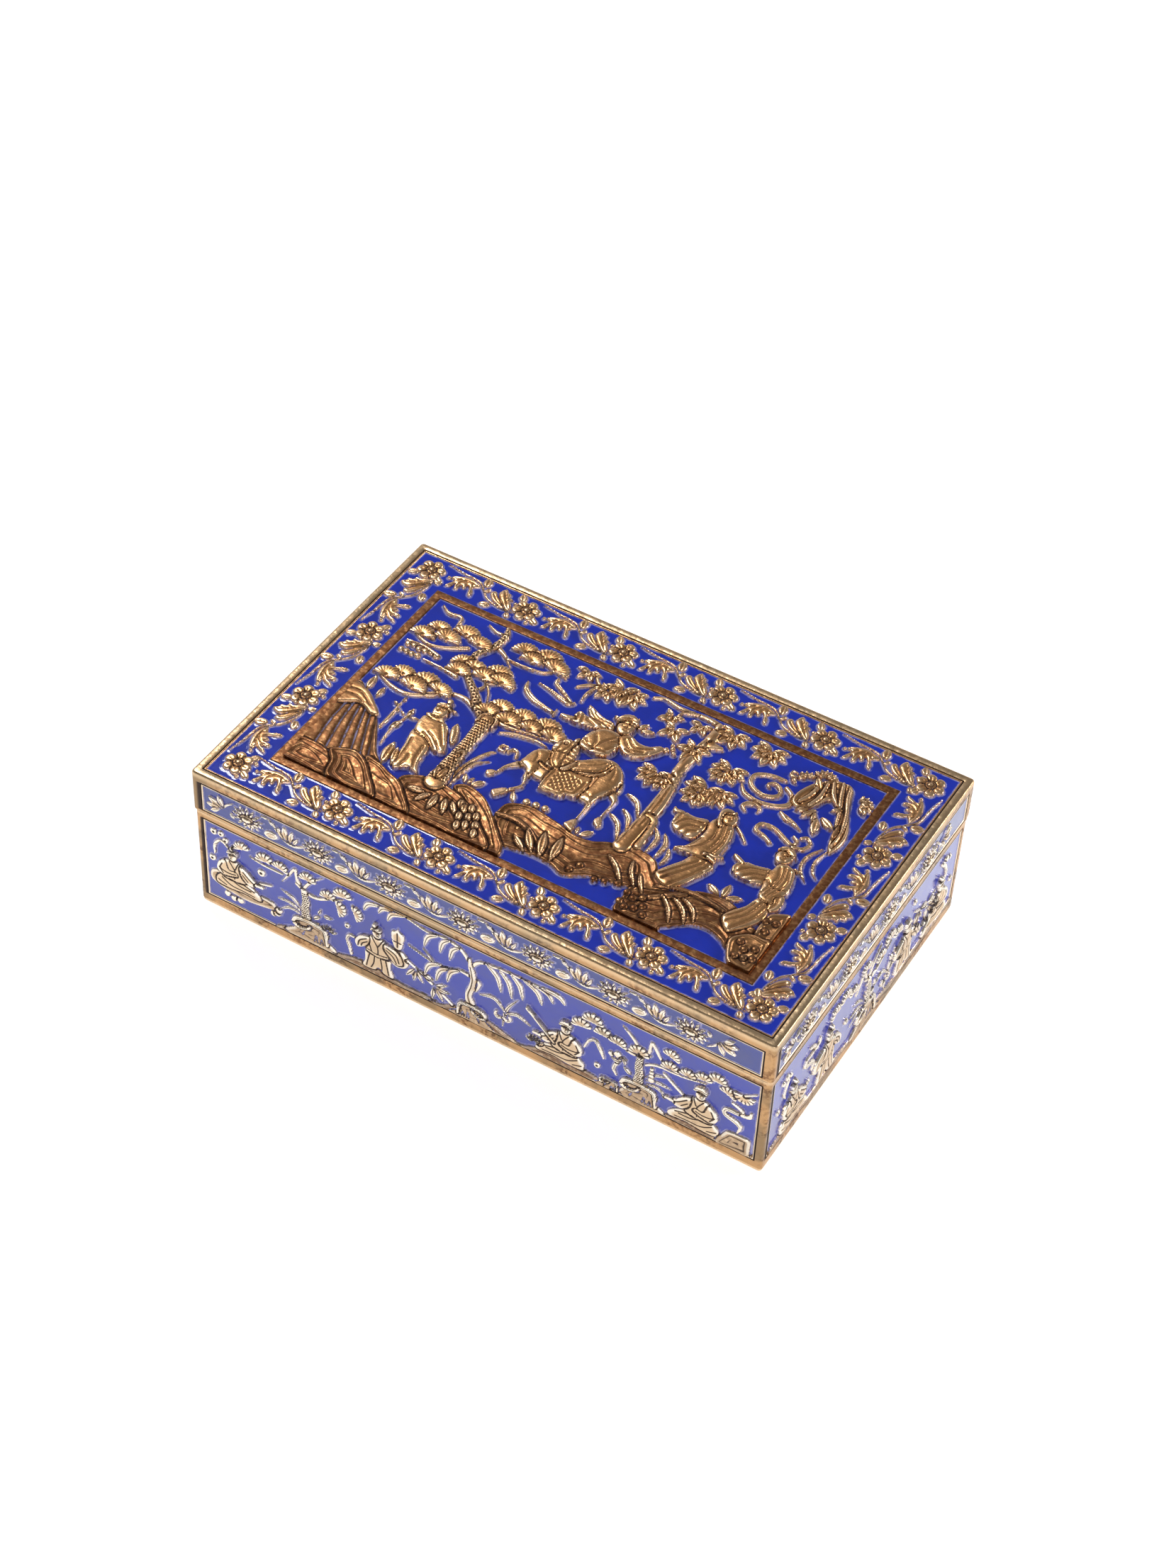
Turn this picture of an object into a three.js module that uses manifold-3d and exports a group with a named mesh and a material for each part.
// A gilt metal keepsake box with a hinged lid. Its walls and lid hold enamelled plaques:
// thin gilt sheets with raised ornament, whose ground is filled with blue enamel.
// Inside, a wooden lining stands proud of the base and locates the closed lid.
// Units are millimetres. X runs along the front, Y to the back, Z up, and the box stands on z = 0.
import * as THREE from "three";
import { mergeVertices } from "three/addons/utils/BufferGeometryUtils.js";
import Module from "manifold-3d";

const wasm = await Module();
wasm.setup();
const { Manifold, Mesh } = wasm;

// Outside of the base and the lid
const boxLength = 150;
const boxDepth = 94.6;
const baseHeight = 31;
const lidHeight = 12;
const seamGap = 0.3;
const lidOverhang = 0.3;
const wallThickness = 2;
const cornerRadius = 1;
const footRadius = 1.8;
const lidEdgeRadius = 0.6;
const bottomThickness = 1.2;
const lidPlateThickness = 1.2;

// Frame strips left round each plaque, on the base walls, the lid walls and the lid's top
const baseStrip = { side: 1.9, top: 1.9, bottom: 3.8 };
const lidStrip = { side: 2.5, top: 2.7, bottom: 0.7 };
const hingeStrip = 2.2;

// Plaques: a pocket in the wall, a sheet with a raised edge, and the enamel on its ground
const pocketDepth = 1.3;
const plaqueClearance = 0.15;
const bedGap = 0.1;
const sheetThickness = 0.5;
const enamelThickness = 0.35;
const edgeWidth = 0.5;
const edgeBelowFrame = 0.1;
const enamelClearance = 0.15;
const sideReliefProud = 0.3;
const hillProud = 0.5;
const foliageProud = 0.4;
const trunkProud = 0.6;
const figureProud = 0.9;
const riderProud = 1.2;
const borderReliefProud = 0.4;
const reliefDraft = 0.2;

// The lid's top: a garland border round a framed scene
const borderWidth = 10.2;
const bandWidth = 2.2;
const reliefChannel = 1;

// Wooden lining
const liningThickness = 2.4;
const liningLip = 2.2;
const lipClearance = 0.3;

// Hinge along the back edge
const hingeSetback = 1.5;
const hingeOffset = 0.2;
const knuckleRadius = 1.4;
const knuckleCount = 7;
const knuckleGap = 0.2;
const pinRadius = 0.6;
const pinClearance = 0.1;
const coveClearance = 0.15;
const pinHeadRadius = 1.1;
const pinHeadLength = 0.7;
const barrelFacets = 16;
const pinFacets = 12;

// Places worked out from the sizes above
const halfLength = boxLength / 2;
const halfDepth = boxDepth / 2;
const lidHalfLength = halfLength + lidOverhang;
const lidHalfDepth = halfDepth + lidOverhang;
const lidBottom = baseHeight + seamGap;
const lidTop = lidBottom + lidHeight;
const hingeY = halfDepth + hingeOffset;
const hingeZ = baseHeight + seamGap / 2;
const hingeLength = boxLength - 2 * hingeSetback;
const plaqueBack = pocketDepth - bedGap;
const groundDepth = plaqueBack - sheetThickness;
const enamelBack = groundDepth - bedGap / 2;
const enamelFace = enamelBack - enamelThickness;
const lidPlateTop = lidTop - pocketDepth;
const lidPlateBottom = lidPlateTop - lidPlateThickness;

const giltMaterial = new THREE.MeshStandardMaterial({ color: 0xa98449, roughness: 0.38, metalness: 1 });
const plaqueMaterial = new THREE.MeshStandardMaterial({ color: 0xb08a4c, roughness: 0.3, metalness: 1 });
const enamelMaterial = new THREE.MeshStandardMaterial({ color: 0x1a1fa6, roughness: 0.15, metalness: 0 });
const woodMaterial = new THREE.MeshStandardMaterial({ color: 0x8f5c36, roughness: 0.6, metalness: 0 });

// Solids

function solidOf(geometry) {
  const bare = new THREE.BufferGeometry();
  bare.setAttribute("position", geometry.getAttribute("position"));
  if (geometry.index) bare.setIndex(geometry.index);
  const merged = mergeVertices(bare, 1e-4);
  return new Manifold(
    new Mesh({
      numProp: 3,
      vertProperties: new Float32Array(merged.attributes.position.array),
      triVerts: new Uint32Array(merged.index.array),
    }),
  );
}

function geometryOf(solid) {
  const mesh = solid.getMesh();
  const geometry = new THREE.BufferGeometry();
  geometry.setAttribute("position", new THREE.BufferAttribute(mesh.vertProperties, mesh.numProp));
  geometry.setIndex(new THREE.BufferAttribute(mesh.triVerts, 1));
  return geometry;
}

function box(x0, x1, y0, y1, z0, z1) {
  const geometry = new THREE.BoxGeometry(x1 - x0, y1 - y0, z1 - z0);
  geometry.translate((x0 + x1) / 2, (y0 + y1) / 2, (z0 + z1) / 2);
  return solidOf(geometry);
}

function cylinderAlongX(radius, x0, x1, y, z, sides) {
  const geometry = new THREE.CylinderGeometry(radius, radius, x1 - x0, sides);
  geometry.rotateZ(Math.PI / 2);
  geometry.translate((x0 + x1) / 2, y, z);
  return solidOf(geometry);
}

// A solid through closed outlines of equal point counts, each at its own height, lowest first.
function loft(levels) {
  const count = levels[0].outline.length;
  const positions = levels.flatMap(({ outline, z }) => outline.flatMap(([u, v]) => [u, v, z]));
  const faces = [];
  for (let level = 0; level + 1 < levels.length; level++) {
    for (let i = 0; i < count; i++) {
      const a = level * count + i;
      const b = level * count + ((i + 1) % count);
      faces.push(a, b, b + count, a, b + count, a + count);
    }
  }
  const flat = levels[0].outline.map(([u, v]) => new THREE.Vector2(u, v));
  const top = (levels.length - 1) * count;
  for (const [i, j, k] of THREE.ShapeUtils.triangulateShape(flat, [])) {
    faces.push(i, k, j, top + i, top + j, top + k);
  }
  const geometry = new THREE.BufferGeometry();
  geometry.setAttribute("position", new THREE.Float32BufferAttribute(positions, 3));
  geometry.setIndex(faces);
  return solidOf(geometry);
}

function roundedRectangle(halfX, halfY, radius) {
  const steps = 3;
  const corners = [
    [1, 1, 0],
    [-1, 1, 90],
    [-1, -1, 180],
    [1, -1, 270],
  ];
  return corners.flatMap(([sx, sy, start]) =>
    Array.from({ length: steps + 1 }, (_, i) => {
      const turn = THREE.MathUtils.degToRad(start + (90 * i) / steps);
      return [
        sx * (halfX - radius) + radius * Math.cos(turn),
        sy * (halfY - radius) + radius * Math.sin(turn),
      ];
    }),
  );
}

// Raised ornament
// Every motif is a list of shapes. A shape's outline can be drawn wider or narrower, which gives
// its foot, its drafted top and the hole it leaves in the enamel.

function counterClockwise(outline) {
  const points = outline.map(([u, v]) => new THREE.Vector2(u, v));
  return THREE.ShapeUtils.area(points) < 0 ? [...outline].reverse() : outline;
}

function starShaped(u, v, turn, radii) {
  return (grow) =>
    radii.map((radius, i) => {
      const angle = THREE.MathUtils.degToRad(turn) + (2 * Math.PI * i) / radii.length;
      return [u + (radius + grow) * Math.cos(angle), v + (radius + grow) * Math.sin(angle)];
    });
}

function rosette(u, v, radius, petals, valley = 0.72) {
  const radii = Array.from({ length: 2 * petals }, (_, i) => (i % 2 ? radius * valley : radius));
  return starShaped(u, v, 90, radii);
}

function oval(u, v, length, width, turn, sides = 6) {
  const angle = THREE.MathUtils.degToRad(turn);
  return (grow) =>
    Array.from({ length: sides }, (_, i) => {
      const along = (length / 2 + grow) * Math.cos((2 * Math.PI * i) / sides);
      const across = (width / 2 + grow) * Math.sin((2 * Math.PI * i) / sides);
      return [
        u + along * Math.cos(angle) - across * Math.sin(angle),
        v + along * Math.sin(angle) + across * Math.cos(angle),
      ];
    });
}

// A pad of foliage: flat below and arched above.
function foliagePad(u, v, halfWidth, height) {
  return patch([
    [u - halfWidth, v],
    [u + halfWidth, v],
    [u + 0.6 * halfWidth, v + 0.8 * height],
    [u - 0.1 * halfWidth, v + height],
    [u - 0.7 * halfWidth, v + 0.7 * height],
  ]);
}

// A band along a line of points, each with its own width.
function band(points) {
  return (grow) => {
    const sides = points.map(([u, v, width], i) => {
      const before = points[Math.max(i - 1, 0)];
      const after = points[Math.min(i + 1, points.length - 1)];
      const length = Math.hypot(after[0] - before[0], after[1] - before[1]);
      const along = [(after[0] - before[0]) / length, (after[1] - before[1]) / length];
      const end = i === 0 ? -grow : i === points.length - 1 ? grow : 0;
      const half = width / 2 + grow;
      const centre = [u + along[0] * end, v + along[1] * end];
      return [
        [centre[0] - along[1] * half, centre[1] + along[0] * half],
        [centre[0] + along[1] * half, centre[1] - along[0] * half],
      ];
    });
    const right = sides.map((pair) => pair[1]);
    const left = sides.map((pair) => pair[0]);
    return counterClockwise([...right, ...left.reverse()]);
  };
}

// An outline given by its corners, moved along the bisector at each corner.
function patch(corners) {
  const outline = counterClockwise(corners);
  return (grow) =>
    outline.map(([u, v], i) => {
      const before = outline[(i + outline.length - 1) % outline.length];
      const after = outline[(i + 1) % outline.length];
      const normals = [
        [v - before[1], before[0] - u],
        [after[1] - v, u - after[0]],
      ].map(([x, y]) => [x / Math.hypot(x, y), y / Math.hypot(x, y)]);
      const sum = [normals[0][0] + normals[1][0], normals[0][1] + normals[1][1]];
      const share = (2 * grow) / Math.max(sum[0] ** 2 + sum[1] ** 2, 1);
      return [u + sum[0] * share, v + sum[1] * share];
    });
}

// Motifs stand in a panel's own plane: u to the right, v up. A stock motif is drawn about its foot.

const stockFigures = {
  standing: {
    robe: [
      [-4.4, 0.2],
      [4.6, 0.2],
      [3.2, 6.4],
      [7.4, 6.8],
      [6.6, 10.2],
      [3, 11.8],
      [-3, 11.8],
      [-6.4, 8.6],
      [-5.6, 6.4],
      [-3.2, 6.6],
    ],
    head: [0, 14.5],
  },
  seated: {
    robe: [
      [-5.4, 0.1],
      [7.6, 0.2],
      [7.6, 1.6],
      [3.2, 4.6],
      [7.2, 5.4],
      [4, 9],
      [0, 10.8],
      [-3.2, 9.6],
      [-5, 6.4],
      [-5.6, 2],
    ],
    head: [-0.3, 12.6],
  },
};
const stockHead = { height: 3.9, width: 3.3 };
const stockRock = [
  [-6.4, -0.4],
  [-4, 2.4],
  [-4.4, 5.4],
  [0, 7],
  [4, 6.6],
  [5.4, 3],
  [7, -0.4],
];
const stockPine = [
  [0.3, -0.4, 3],
  [-0.1, 4, 2.2],
  [-0.2, 9.4, 1.7],
  [-2.6, 14, 0.9],
];
const stockWillow = [
  [0.2, -0.6, 2.8],
  [-0.8, 3, 2],
  [0.3, 9.4, 1.6],
  [-0.6, 15.4, 0.9],
];
const willowBoughs = [
  [
    [-0.4, 13.6, 1.2],
    [-4, 17.4, 0.9],
    [-12, 17.6, 0.7],
    [-20, 18.6, 0.5],
  ],
  [
    [0, 13.4, 1.2],
    [3, 16.2, 0.9],
    [11, 17, 0.7],
    [17.6, 17.2, 0.5],
  ],
];

// The four walls' scenes, each drawn for its own width and for one height. A row holds the motif,
// its foot, its size and which way it faces. A pine's pads of needles follow, from the pine's foot.
const drawnHeight = 23.7;
const wallScenes = {
  front: {
    drawnWidth: 144.6,
    earth: [-54, -6, 49, 72],
    rows: [
      ["seated", -64.6, 5.6, 0.92, 1],
      ["rock", -63, 2.6, 1.3, 1],
      [
        "pine", -44.8, 7.2, 1, 1,
        [-17.4, 13, 2.5, 2.4],
        [-9, 12.8, 4.8, 2.6],
        [0.8, 13.2, 2.6, 2.4],
        [10.4, 13.2, 2.9, 2.8],
        [6.4, 10.6, 2.6, 2.4],
      ],
      ["rock", -44, 0.8, 1, 1],
      ["standing", -25, 1.4, 0.92, 1],
      ["willow", 0.2, 5.2, 1, 1],
      ["rock", 0.6, 0.4, 0.8, -1],
      ["seated", 24.6, 1.8, 0.92, -1],
      [
        "pine", 43.6, 6.6, 1, -1,
        [13.6, 10, 8.4, 2.6],
        [12.2, 12.8, 3.1, 2.6],
        [0.2, 10, 3, 2.6],
        [-7.4, 14, 2.5, 2.2],
        [-10.4, 10, 5.4, 2.4],
        [-20.4, 11.4, 5.4, 3],
      ],
      ["rock", 43.4, 0.4, 0.95, 1],
      ["seated", 58.8, 1.4, 0.94, -1],
    ],
  },
  rear: {
    drawnWidth: 144.6,
    earth: [-72, 72],
    rows: [
      ["standing", -58, 1.8, 0.92, -1],
      ["willow", -40, 4.8, 1, -1],
      ["rock", -40, 0.2, 0.85, 1],
      ["seated", -24, 2.2, 0.92, 1],
      [
        "pine", -3, 6.2, 1, 1,
        [-11.6, 13.2, 5.4, 3],
        [-5.6, 12, 2.5, 2.4],
        [0.6, 14, 2.6, 2.4],
        [9, 12.4, 5.4, 3.4],
      ],
      ["rock", -3, 0.4, 1, -1],
      ["standing", 14, 2.6, 0.92, 1],
      ["seated", 34.6, 2, 0.92, -1],
      [
        "pine", 51, 6.2, 1, -1,
        [12.4, 12.2, 6.4, 3.4],
        [0, 13.2, 2.7, 2.6],
        [-8.4, 12.6, 5.2, 3.2],
        [-15.6, 13.2, 2.7, 2.6],
      ],
      ["rock", 51, 0.2, 1, 1],
      ["standing", 66, 2.4, 0.88, -1],
    ],
  },
  right: {
    drawnWidth: 89.2,
    earth: [-44, 44],
    rows: [
      ["seated", -35, 2, 0.92, 1],
      ["standing", -19, 1.8, 0.92, -1],
      [
        "pine", 0, 6.4, 1, 1,
        [-14.4, 13.2, 5, 3.2],
        [-8, 12, 2.5, 2.4],
        [-2, 14, 2.6, 2.4],
        [8.6, 12.4, 5.6, 3.2],
      ],
      ["rock", 0, 0.4, 1, 1],
      ["standing", 19, 2, 0.92, 1],
      ["seated", 36, 2.2, 0.92, -1],
    ],
  },
};
wallScenes.left = {
  ...wallScenes.right,
  rows: wallScenes.right.rows.map(([kind, u, v, size, way, ...pads]) => [kind, -u, v, size, -way, ...pads]),
};
const earthDepth = 2.2;
const earthEnds = [0.4, 0.6];

function wallMotifs(scene, width, height) {
  const foot = -height / 2 + reliefChannel;
  const across = width / scene.drawnWidth;
  const up = (height - 2 * reliefChannel) / (drawnHeight - 2 * reliefChannel);
  const earth = (u0, u1) =>
    patch([
      [u0 * across, foot],
      [u1 * across, foot],
      [u1 * across, foot + earthDepth * up * earthEnds[1]],
      [((u0 + u1) / 2) * across, foot + earthDepth * up],
      [u0 * across, foot + earthDepth * up * earthEnds[0]],
    ]);
  const strips = Array.from({ length: scene.earth.length / 2 }, (_, i) =>
    earth(scene.earth[2 * i], scene.earth[2 * i + 1]),
  );
  const motifs = scene.rows.flatMap(([kind, u0, v0, size, way, ...pads]) => {
    const placed = (points) =>
      points.map(([u, v, ...rest]) => [
        (u0 + u * size * way) * across,
        Math.max(foot + (v0 - reliefChannel + v * size) * up, foot),
        ...rest.map((span) => span * size * up),
      ]);
    if (kind === "rock") return [patch(placed(stockRock))];
    if (kind === "willow") return [stockWillow, ...willowBoughs].map((line) => band(placed(line)));
    if (kind === "pine") {
      const needles = placed(pads).map((pad) => foliagePad(...pad));
      return [band(placed(stockPine)), ...needles];
    }
    const [head] = placed([stockFigures[kind].head]);
    return [
      patch(placed(stockFigures[kind].robe)),
      oval(...head, stockHead.height * size * up, stockHead.width * size * up, 90),
    ];
  });
  return [...strips, ...motifs];
}

// A row of daisies with a spray of leaves after each one, for the lid's walls.
const daisySpacing = 19.2;
const drawnRowHeight = 7;
const daisy = { reach: 0.42, petals: 5, notch: 0.86 };
const daisyLeaves = [
  [4.8, -2.4],
  [8.4, -2.2],
  [15, -1],
  [12.6, 2],
  [9.4, 2],
  [5.4, 2.7],
  [7.4, 0.4],
];

function daisyRow(width, height) {
  const count = Math.max(Math.floor(width / daisySpacing), 1);
  const pitch = Math.min(daisySpacing, width / count);
  const up = height / drawnRowHeight;
  const stations = Array.from({ length: count }, (_, i) => (i - count / 2) * pitch);
  return stations.flatMap((station) => [
    rosette(station, 0, height * daisy.reach, daisy.petals, daisy.notch),
    patch(daisyLeaves.map(([u, v]) => [station + u, v * up])),
  ]);
}

// The garland of the lid's border: a rosette at every station. Between stations a lobed leaf hangs
// to one side of the stem and a tuft stands on the other. Leaf and tuft are drawn from a station,
// with u along the run.
const rosetteSpacing = 26.8;
const rosetteRadius = 3.8;
const rosettePetals = 6;
const garlandLeaf = [
  [13.2, 0],
  [11.4, 1.3],
  [7.2, 2.8],
  [5.8, 0.2],
  [6.6, -3.4],
  [9, -2],
  [11.5, -2.9],
];
const garlandTuft = [
  [22.6, -1.6],
  [20.4, 3],
  [16.8, 4.1],
  [14.6, 2.2],
  [15.6, -1],
];

function garland(halfX, halfY) {
  const runs = [
    [-halfX, -halfY, -halfX, halfY],
    [-halfX, halfY, halfX, halfY],
    [halfX, halfY, halfX, -halfY],
    [-halfX, -halfY, halfX, -halfY],
  ];
  const shapes = runs.flatMap(([u0, v0, u1, v1]) => {
    const length = Math.hypot(u1 - u0, v1 - v0);
    const along = [(u1 - u0) / length, (v1 - v0) / length];
    const steps = Math.max(Math.round(length / rosetteSpacing), 1);
    return Array.from({ length: steps }, (_, i) => {
      const run = (i * length) / steps;
      const stretch = length / steps / rosetteSpacing;
      const placed = (points) =>
        points.map(([u, v]) => [
          u0 + along[0] * (run + u * stretch) - along[1] * v,
          v0 + along[1] * (run + u * stretch) + along[0] * v,
        ]);
      const inner = i > 0 ? [rosette(...placed([[0, 0]])[0], rosetteRadius, rosettePetals)] : [];
      return [...inner, patch(placed(garlandLeaf)), patch(placed(garlandTuft))];
    }).flat();
  });
  const corners = [
    [-halfX, -halfY],
    [-halfX, halfY],
    [halfX, halfY],
    [halfX, -halfY],
  ];
  return [...corners.map((corner) => rosette(...corner, rosetteRadius, rosettePetals)), ...shapes];
}

// The framed scene: hills along the foot, a pine on the left, a broad-leaved tree on the right,
// a rider between them, robed figures and clouds. It is drawn from the field's centre, and is made
// larger or smaller so that the hills reach to the channel along the field's edge.
const hills = [
  [
    [-59.4, -31.6],
    [-59.4, -25.6],
    [-52.5, -24.8],
    [-47, -22.6],
    [-40, -23],
    [-34, -25],
    [-30, -21],
    [-21.5, -18],
    [-15, -19.2],
    [-8, -25],
    [-4, -31.6],
  ],
  [
    [-10, -20],
    [-9, -17.5],
    [-5, -15.8],
    [4, -17],
    [12, -17.2],
    [22, -13.9],
    [28, -15.5],
    [35, -21.5],
    [30, -25.4],
    [17, -27],
    [12, -29.4],
    [-6, -29.2],
  ],
  [
    [27, -31.6],
    [26.4, -25],
    [34, -21.7],
    [38, -18.6],
    [46, -16.6],
    [54, -20.4],
    [59.4, -21.8],
    [59.4, -31.6],
    [56, -31.6],
    [50, -27.4],
    [43.5, -27.2],
    [38, -31.6],
  ],
  [
    [-59.4, -3.8],
    [-56.5, -4.2],
    [-50, -9.8],
    [-44, -19],
    [-41, -23.6],
    [-59.4, -26.2],
  ],
  [
    [43.8, 17.8],
    [43.4, 21.5],
    [46, 27],
    [51, 29.4],
    [54, 28],
    [56.6, 21],
    [59.2, 13],
    [58.3, 8.4],
    [55.2, 18.4],
    [50.4, 22.4],
    [48.6, 19],
  ],
];
const pinePads = [
  [
    [-59.2, 19.2],
    [-57.5, 25.2],
    [-47.5, 28.2],
    [-41, 26],
    [-39.8, 22.6],
    [-53, 17.8],
  ],
  [
    [-36.6, 26.6],
    [-34, 30.4],
    [-27, 31.4],
    [-21, 29.4],
    [-19.8, 25.4],
    [-30, 23.8],
  ],
  [
    [-46.4, 13],
    [-45.8, 18],
    [-34, 20.4],
    [-28, 14.6],
    [-34, 12.8],
    [-42, 11.2],
  ],
  [
    [-59.2, 2.8],
    [-56.4, 6.4],
    [-46.6, 9.3],
    [-40.6, 7.4],
    [-39, 4],
    [-46, 1.6],
    [-56, 1.2],
  ],
  [
    [-32.6, 5],
    [-30.6, 9.6],
    [-26, 11],
    [-15, 11.4],
    [-10.4, 8.8],
    [-8.4, 5.4],
    [-18, 4],
    [-29, 3.4],
  ],
  [
    [-12.6, 26.6],
    [-8, 30.8],
    [-0.4, 30.6],
    [-2.4, 26],
    [-6, 23.6],
  ],
];
const leafClusters = [
  [-16.4, 28.4, 2.6],
  [7.2, 26, 2.8],
  [9.8, 22.6, 3],
  [22.2, 28, 3.8],
  [32, 28, 4],
  [17, 19.4, 3.8],
  [26.6, 17.6, 4.2],
  [13.8, 7.6, 4.2],
  [25.8, 8.6, 5.2],
];
const trunks = [
  [
    [-26.9, -20.8, 5],
    [-27.3, -10, 3.7],
    [-28, 2.4, 3.2],
    [-35, 8.4, 2.4],
    [-41.6, 15, 1.8],
    [-40.2, 30.8, 1.6],
  ],
  [
    [18.4, -15, 4.2],
    [18.9, -2, 3.6],
    [17.4, 11, 3],
    [18.8, 24.4, 3],
    [18.2, 31, 1.8],
  ],
];
const horse = [
  [-14.8, -4.4],
  [-13.6, 1.4],
  [-8, 8.4],
  [-5.4, 7.4],
  [-4, 2.4],
  [2.4, 6.8],
  [6, 6.6],
  [8.2, 2],
  [6.4, -6.8],
  [-1, -9.6],
  [-5.4, -9.6],
  [-12, -5.6],
];
const horseLegs = [
  [
    [-12.4, -4.4, 2.4],
    [-15.6, -6.6, 1.3],
    [-18.6, -11, 1.4],
  ],
  [
    [-9, -6, 2.4],
    [-9.4, -11.6, 1.1],
    [-14, -16, 1.6],
  ],
  [
    [4.4, -5.6, 3.2],
    [5.4, -9.4, 1.4],
    [5, -15.6, 1.6],
  ],
  [
    [6.6, -1.6, 3],
    [9.2, -4, 1.3],
    [9.6, -11.6, 1.4],
  ],
];
const sleeves = [
  [
    [-4, 15.4],
    [-9.6, 18.8],
    [-11.8, 16],
    [-11.8, 12.8],
    [-5, 13.2],
  ],
  [
    [1, 15.2],
    [2.4, 11],
    [5, 9.8],
    [8.4, 11.4],
    [11.2, 16],
    [6, 14.9],
  ],
  [
    [32, 1.8],
    [24.8, 1.6],
    [23.8, -1],
    [24.8, -3.8],
    [32, -4.6],
  ],
  [
    [51, -3.8],
    [43.6, -4.8],
    [42.4, -7.4],
    [43.6, -9.2],
    [51, -8.8],
  ],
];
const robes = [
  [
    [-40.6, -4],
    [-35.4, -4],
    [-32.6, -7],
    [-30.3, -12],
    [-33.8, -13],
    [-31.8, -20.8],
    [-37.4, -22],
    [-39.2, -17],
    [-40.4, -9.4],
  ],
  [
    [33, 4.4],
    [36, 4],
    [38.2, -2],
    [38.2, -11],
    [35, -19.4],
    [32.2, -20.4],
    [28.8, -18.4],
    [32.6, -10],
    [28.8, -9.4],
    [31.4, -3],
  ],
  [
    [50.4, -1],
    [54.4, -1.2],
    [56.4, -7],
    [56.8, -13],
    [54.6, -20],
    [50.2, -24.6],
    [47.8, -21.6],
    [50.8, -14],
  ],
];
const rider = [
  [-5.4, -0.4],
  [1.4, -1.2],
  [4.4, 1.4],
  [2, 7],
  [2.2, 13.4],
  [-1, 15],
  [-5, 13.6],
  [-6, 8],
];
const heads = [
  [0.5, 17.8],
  [-38.4, -0.6],
  [34.9, 5.6],
  [50.8, 1.6],
];
const headHeight = 5;
const headWidth = 4.4;
const clouds = [
  [
    [39, 22.8, 1],
    [33, 21.2, 1.2],
    [33.2, 18, 1.2],
    [38, 16.4, 1.2],
  ],
  [
    [31.6, 16.4, 0.8],
    [36, 13.8, 1.2],
    [41, 14.6, 1.2],
    [43, 17, 1.2],
  ],
  [
    [41.4, 6.2, 1.1],
    [44.4, 8.3, 1.2],
    [50, 5.8, 1.1],
  ],
  [
    [-24.6, 20, 0.8],
    [-18, 18.4, 1.2],
    [-14.6, 18.2, 1],
  ],
  [
    [-27, 18.6, 0.8],
    [-24, 15.4, 1.4],
    [-17, 13.2, 1],
  ],
];

// Every shape of the scene, with how far it stands above the frame's face.
function lidScene(halfU, halfV) {
  const reach = (axis) => Math.max(...hills.flat().map((point) => Math.abs(point[axis])));
  const across = (halfU - reliefChannel) / reach(0);
  const up = (halfV - reliefChannel) / reach(1);
  const placed = (points) => points.map(([u, v, ...rest]) => [u * across, v * up, ...rest]);
  const patches = (outlines) => outlines.map((outline) => patch(placed(outline)));
  const bands = (lines) => lines.map((line) => band(placed(line)));
  const clusters = placed(leafClusters).map(([u, v, radius]) => rosette(u, v, radius, 3, 0.9));
  const ovals = placed(heads).map(([u, v]) => oval(u, v, headHeight, headWidth, 90));
  return [
    [hillProud, patches(hills)],
    [foliageProud, [...patches(pinePads), ...clusters, ...bands(clouds)]],
    [trunkProud, bands([...trunks, ...horseLegs])],
    [figureProud, patches([...robes, ...sleeves, horse])],
    [riderProud, [...patches([rider]), ...ovals]],
  ].flatMap(([proud, shapes]) => shapes.map((outline) => ({ proud, outline })));
}

// Plaques

function reliefSolid(shape, groundZ, topZ) {
  return loft([
    { outline: shape(0), z: groundZ - sheetThickness / 2 },
    { outline: shape(-reliefDraft), z: topZ },
  ]);
}

function enamelHole(shape) {
  return loft([
    { outline: shape(enamelClearance), z: -enamelBack - bedGap },
    { outline: shape(enamelClearance), z: -enamelFace + bedGap },
  ]);
}

// A gilt sheet in its own plane, z = 0 at the frame's face and negative inwards.
function plaqueSheet(width, height) {
  const halfU = width / 2;
  const halfV = height / 2;
  const sheet = box(-halfU, halfU, -halfV, halfV, -plaqueBack, -edgeBelowFrame);
  const field = box(
    -halfU + edgeWidth,
    halfU - edgeWidth,
    -halfV + edgeWidth,
    halfV - edgeWidth,
    -groundDepth,
    bedGap,
  );
  return sheet.subtract(field);
}

function enamelSlab(halfU, halfV) {
  return box(-halfU, halfU, -halfV, halfV, -enamelBack, -enamelFace);
}

// A wall plaque and its enamel, both in the plaque's own plane.
function wallPlaque(width, height, motifs) {
  const fieldU = width / 2 - edgeWidth - enamelClearance;
  const fieldV = height / 2 - edgeWidth - enamelClearance;
  const shapes = motifs(2 * fieldU, 2 * fieldV);
  const relief = shapes.map((shape) => reliefSolid(shape, -groundDepth, sideReliefProud));
  return {
    sheet: Manifold.union([plaqueSheet(width, height), ...relief]),
    enamel: enamelSlab(fieldU, fieldV).subtract(Manifold.union(shapes.map(enamelHole))),
  };
}

// Carcass: a ring of four walls, mitred at the corners

function ringOfWalls(halfX, halfY, levels) {
  const outside = loft(
    levels.map(({ inset, z }) => ({
      outline: roundedRectangle(halfX - inset, halfY - inset, cornerRadius),
      z,
    })),
  );
  const low = levels[0].z - 1;
  const high = levels[levels.length - 1].z + 1;
  const innerX = halfX - wallThickness;
  const innerY = halfY - wallThickness;
  return outside.subtract(box(-innerX, innerX, -innerY, innerY, low, high));
}

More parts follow.
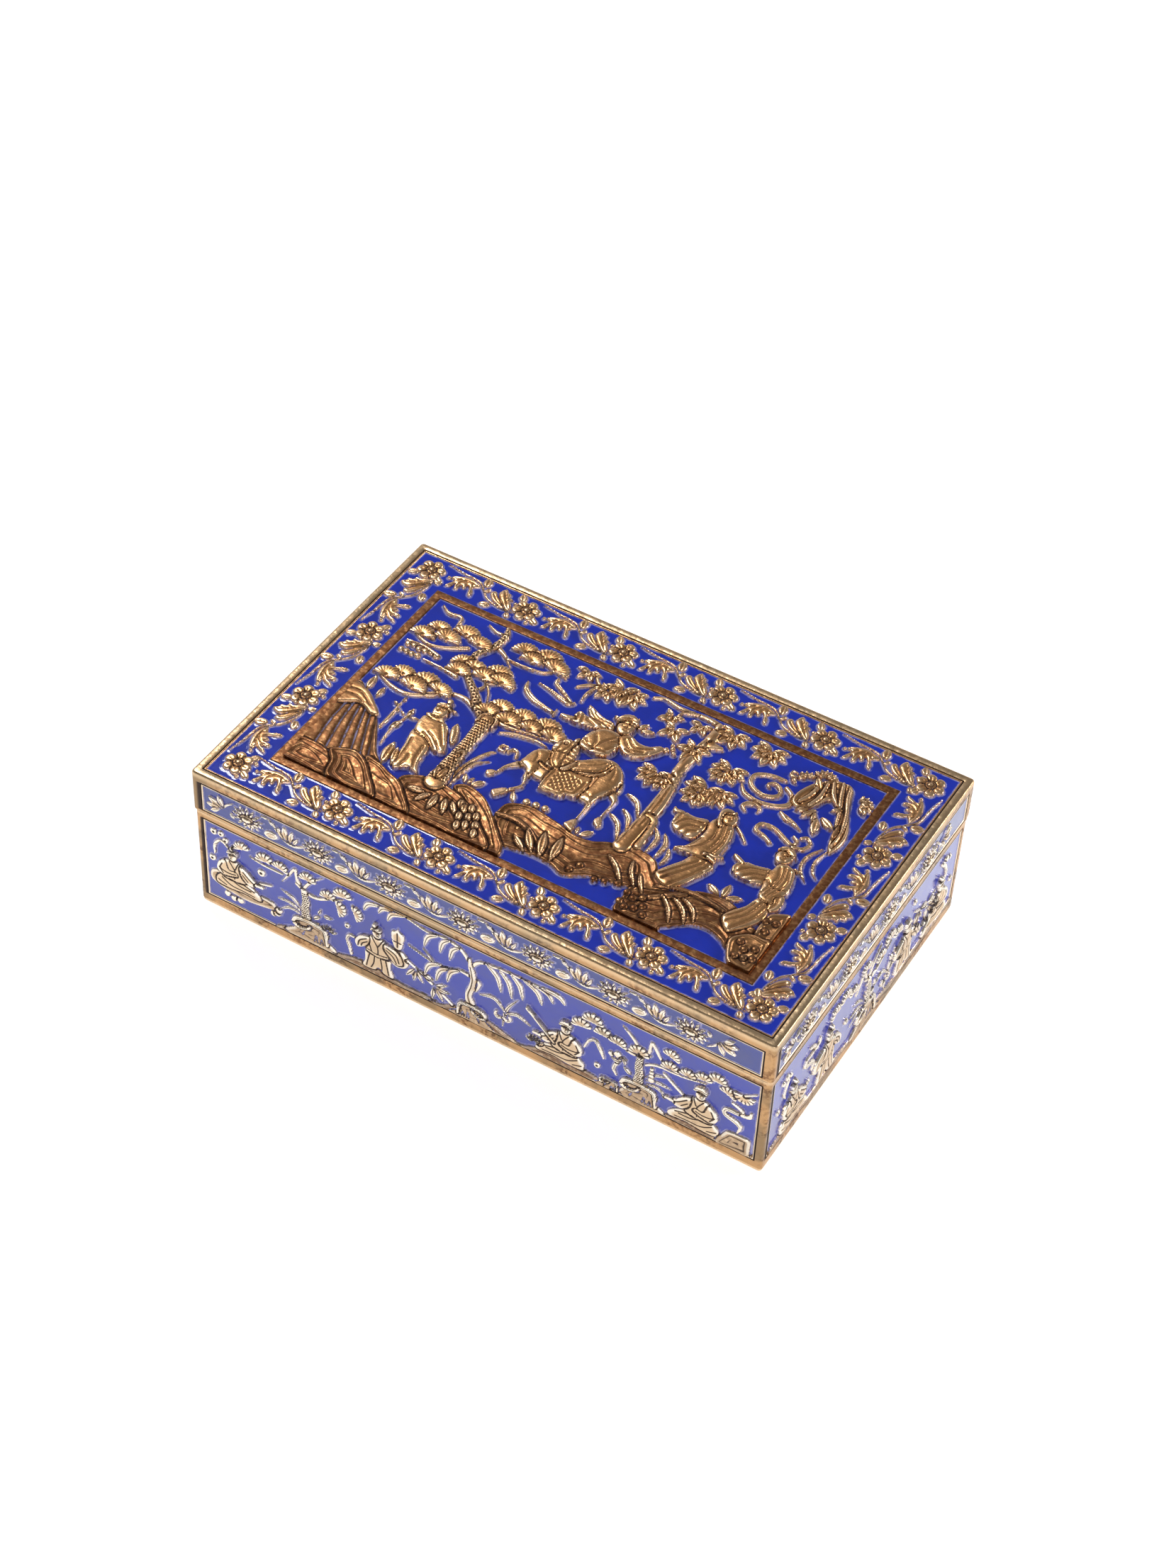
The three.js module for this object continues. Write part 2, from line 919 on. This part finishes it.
function quarterTurn(radius, steps, fromFlat) {
  return Array.from({ length: steps + 1 }, (_, i) => {
    const angle = (Math.PI / 2) * (i / steps);
    const inset = radius * (1 - Math.sin(fromFlat ? angle : Math.PI / 2 - angle));
    const rise = radius * (1 - Math.cos(fromFlat ? angle : Math.PI / 2 - angle));
    return { inset, rise };
  });
}

const baseRing = ringOfWalls(halfLength, halfDepth, [
  ...quarterTurn(footRadius, 4, true).map(({ inset, rise }) => ({ inset, z: rise })),
  { inset: 0, z: baseHeight },
]);
const lidRing = ringOfWalls(lidHalfLength, lidHalfDepth, [
  { inset: 0, z: lidBottom },
  ...quarterTurn(lidEdgeRadius, 3, false).map(({ inset, rise }) => ({ inset, z: lidTop - rise })),
]);

// The part of a ring that belongs to one side, cut at 45 degrees through the corners.
function mitred(ring, side, halfX, halfY) {
  const out = 5;
  const inwards = 20;
  const plans = {
    front: [
      [-halfX - out, -halfY - out],
      [halfX + out, -halfY - out],
      [halfX - inwards, -halfY + inwards],
      [-halfX + inwards, -halfY + inwards],
    ],
    right: [
      [halfX + out, -halfY - out],
      [halfX + out, halfY + out],
      [halfX - inwards, halfY - inwards],
      [halfX - inwards, -halfY + inwards],
    ],
    rear: [
      [halfX + out, halfY + out],
      [-halfX - out, halfY + out],
      [-halfX + inwards, halfY - inwards],
      [halfX - inwards, halfY - inwards],
    ],
    left: [
      [-halfX - out, halfY + out],
      [-halfX - out, -halfY - out],
      [-halfX + inwards, -halfY + inwards],
      [-halfX + inwards, halfY - inwards],
    ],
  };
  const wedge = loft([
    { outline: plans[side], z: -1 },
    { outline: plans[side], z: lidTop + 1 },
  ]);
  return ring.intersect(wedge);
}

const hingeCove = cylinderAlongX(
  knuckleRadius + coveClearance,
  -boxLength,
  boxLength,
  hingeY,
  hingeZ,
  24,
);

// Each side's half width, its distance from the centre, and its turn about Z.
const sides = {
  front: { turn: 0, base: [halfLength, halfDepth], lid: [lidHalfLength, lidHalfDepth] },
  right: { turn: 90, base: [halfDepth, halfLength], lid: [lidHalfDepth, lidHalfLength] },
  rear: { turn: 180, base: [halfLength, halfDepth], lid: [lidHalfLength, lidHalfDepth] },
  left: { turn: 270, base: [halfDepth, halfLength], lid: [lidHalfDepth, lidHalfLength] },
};

const base = new THREE.Group();
const lid = new THREE.Group();

function addSolid(group, name, solid, material) {
  const mesh = new THREE.Mesh(geometryOf(solid), material);
  mesh.name = name;
  group.add(mesh);
  return mesh;
}

// A group whose own plane lies on a wall's face: u along the wall, v up, z outwards.
function facePlane(parent, turn, distance, height) {
  const turned = new THREE.Group();
  turned.rotation.z = THREE.MathUtils.degToRad(turn);
  const plane = new THREE.Group();
  plane.position.set(0, -distance, height);
  plane.rotation.x = Math.PI / 2;
  turned.add(plane);
  parent.add(turned);
  return plane;
}

function addWall(group, part, side, ring, strip, low, high, motifs) {
  const { turn } = sides[side];
  const [halfWidth, distance] = sides[side][part];
  const pocket = {
    halfU: halfWidth - strip.side,
    v0: low + strip.bottom,
    v1: high - strip.top,
  };
  const cut = box(
    -pocket.halfU,
    pocket.halfU,
    -distance - 1,
    -distance + pocketDepth,
    pocket.v0,
    pocket.v1,
  ).rotate([0, 0, turn]);
  const [halfX, halfY] = part === "base" ? [halfLength, halfDepth] : [lidHalfLength, lidHalfDepth];
  const wall = mitred(ring, side, halfX, halfY).subtract(cut).subtract(hingeCove);
  addSolid(group, `${part}_${side}_wall`, wall, giltMaterial);

  const width = 2 * (pocket.halfU - plaqueClearance);
  const height = pocket.v1 - pocket.v0 - 2 * plaqueClearance;
  const { sheet, enamel } = wallPlaque(width, height, motifs);
  const plane = facePlane(group, turn, distance, (pocket.v0 + pocket.v1) / 2);
  addSolid(plane, `${part}_${side}_plaque`, sheet, plaqueMaterial);
  addSolid(plane, `${part}_${side}_enamel`, enamel, enamelMaterial);
}

for (const side of Object.keys(sides)) {
  const byHinge = side === "rear";
  const below = byHinge ? { ...baseStrip, top: hingeStrip } : baseStrip;
  const above = byHinge ? { ...lidStrip, bottom: hingeStrip } : lidStrip;
  addWall(base, "base", side, baseRing, below, 0, baseHeight, (width, height) =>
    wallMotifs(wallScenes[side], width, height),
  );
  addWall(lid, "lid", side, lidRing, above, lidBottom, lidTop, daisyRow);
}

// Flat plates between the walls

const baseInnerX = halfLength - wallThickness;
const baseInnerY = halfDepth - wallThickness;
const lidInnerX = lidHalfLength - wallThickness;
const lidInnerY = lidHalfDepth - wallThickness;

addSolid(
  base,
  "base_bottom_plate",
  box(-baseInnerX, baseInnerX, -baseInnerY, baseInnerY, 0, bottomThickness),
  giltMaterial,
);
addSolid(
  lid,
  "lid_top_plate",
  box(-lidInnerX, lidInnerX, -lidInnerY, lidInnerY, lidPlateBottom, lidPlateTop),
  giltMaterial,
);

// The lid's top plaque: one sheet with a garland border and a framed scene

function addTopPlaque() {
  const halfU = lidInnerX - plaqueClearance;
  const halfV = lidInnerY - plaqueClearance;
  const bandOuter = [halfU - edgeWidth - borderWidth, halfV - edgeWidth - borderWidth];
  const bandInner = bandOuter.map((half) => half - bandWidth);
  const upright = ([halfX, halfY], grow, z0, z1) =>
    box(-halfX - grow, halfX + grow, -halfY - grow, halfY + grow, z0, z1);
  const bandRing = (grow, z0, z1) =>
    upright(bandOuter, grow, z0, z1).subtract(upright(bandInner, -grow, z0 - 1, z1 + 1));
  const garlandLine = [bandOuter[0] + borderWidth / 2, bandOuter[1] + borderWidth / 2];
  const border = garland(...garlandLine);
  const scene = lidScene(...bandInner);
  const sheet = Manifold.union([
    plaqueSheet(2 * halfU, 2 * halfV),
    bandRing(0, -plaqueBack + sheetThickness / 2, 0),
    ...border.map((shape) => reliefSolid(shape, -groundDepth, borderReliefProud)),
    ...scene.map(({ outline, proud }) => reliefSolid(outline, -groundDepth, proud)),
  ]);
  const field = [halfU - edgeWidth - enamelClearance, halfV - edgeWidth - enamelClearance];
  const borderEnamel = enamelSlab(...field)
    .subtract(upright(bandOuter, enamelClearance, -pocketDepth, 1))
    .subtract(Manifold.union(border.map(enamelHole)));
  const sceneEnamel = enamelSlab(bandInner[0] - enamelClearance, bandInner[1] - enamelClearance).subtract(
    Manifold.union(scene.map(({ outline }) => enamelHole(outline))),
  );
  const plane = new THREE.Group();
  plane.position.z = lidTop;
  addSolid(plane, "lid_top_plaque", sheet, plaqueMaterial);
  addSolid(plane, "lid_border_enamel", borderEnamel, enamelMaterial);
  addSolid(plane, "lid_scene_enamel", sceneEnamel, enamelMaterial);
  lid.add(plane);
}

addTopPlaque();

// Wooden lining: a board, two long strips and two short strips between them

function addLining(group, part, innerX, innerY, boardLow, stripLow, stripHigh) {
  const boardX = innerX - liningThickness;
  const boardY = innerY - liningThickness;
  const pieces = {
    board: [-boardX, boardX, -boardY, boardY, boardLow, boardLow + liningThickness],
    front: [-innerX, innerX, -innerY, -boardY, stripLow, stripHigh],
    rear: [-innerX, innerX, boardY, innerY, stripLow, stripHigh],
    left: [-innerX, -boardX, -boardY, boardY, stripLow, stripHigh],
    right: [boardX, innerX, -boardY, boardY, stripLow, stripHigh],
  };
  for (const [name, sizes] of Object.entries(pieces)) {
    addSolid(group, `${part}_lining_${name}`, box(...sizes), woodMaterial);
  }
}

addLining(base, "base", baseInnerX, baseInnerY, bottomThickness, bottomThickness, baseHeight + liningLip);
addLining(
  lid,
  "lid",
  lidInnerX,
  lidInnerY,
  lidPlateBottom - liningThickness,
  baseHeight + liningLip + lipClearance,
  lidPlateBottom,
);

// Hinge: knuckles let into the cove, alternately on the base and the lid, on one pin

function knuckle(x0, x1) {
  const tube = cylinderAlongX(knuckleRadius, x0, x1, hingeY, hingeZ, barrelFacets);
  const bore = cylinderAlongX(pinRadius + pinClearance, x0 - 1, x1 + 1, hingeY, hingeZ, pinFacets);
  return tube.subtract(bore);
}

const knucklePitch = hingeLength / knuckleCount;
for (let i = 0; i < knuckleCount; i++) {
  const x0 = -hingeLength / 2 + i * knucklePitch + knuckleGap / 2;
  const x1 = x0 + knucklePitch - knuckleGap;
  const [group, part] = i % 2 ? [lid, "lid"] : [base, "base"];
  addSolid(group, `${part}_knuckle_${i + 1}`, knuckle(x0, x1), giltMaterial);
}

function hingePin() {
  const half = hingeLength / 2 + knuckleGap;
  const head = (x0, x1) => cylinderAlongX(pinHeadRadius, x0, x1, hingeY, hingeZ, pinFacets);
  const inHeads = half + pinHeadLength / 2;
  return Manifold.union([
    cylinderAlongX(pinRadius, -inHeads, inHeads, hingeY, hingeZ, pinFacets),
    head(-half - pinHeadLength, -half),
    head(half, half + pinHeadLength),
  ]);
}

addSolid(base, "hinge_pin", hingePin(), giltMaterial);

// The whole box, moved so that the middle of its footprint is the origin
const part = new THREE.Group();
const frontReach = lidHalfDepth + sideReliefProud;
const rearReach = hingeY + knuckleRadius;
part.position.y = (frontReach - rearReach) / 2;
part.add(base, lid);

export default part;
